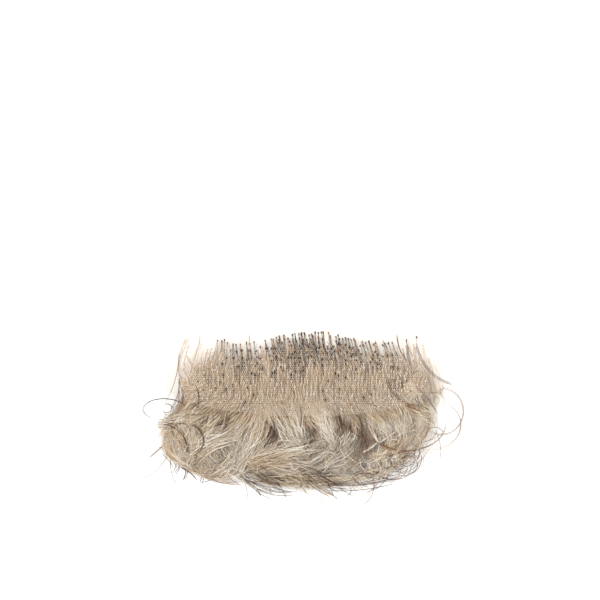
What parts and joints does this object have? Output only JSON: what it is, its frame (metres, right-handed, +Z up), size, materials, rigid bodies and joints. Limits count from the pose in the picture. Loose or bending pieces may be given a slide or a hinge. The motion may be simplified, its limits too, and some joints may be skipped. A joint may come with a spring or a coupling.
{
  "type": "fake beard",
  "caption": "Full chin beard of wavy blond and dark hair, hand-knotted on a fine lace foundation, lying hair side down with its lace up.",
  "frame": {"origin": "on the surface that the beard lies on, under the middle of its box", "axes": "+X across the face, +Y up towards the ears, +Z up from the surface, out of the lace's skin side"},
  "size_m": [0.155, 0.0912, 0.0118],
  "materials": {
    "lace": "fine hexagonal net, matt",
    "dark_hair": "fine strands, satin",
    "ash_hair": "fine strands, satin",
    "blond_hair": "fine strands, satin"
  },
  "bodies": {
    "root": {"lace_foundation": "lace", "outer_hair": "dark_hair", "middle_hair": "ash_hair", "under_hair": "blond_hair"}
  },
  "joints": []
}
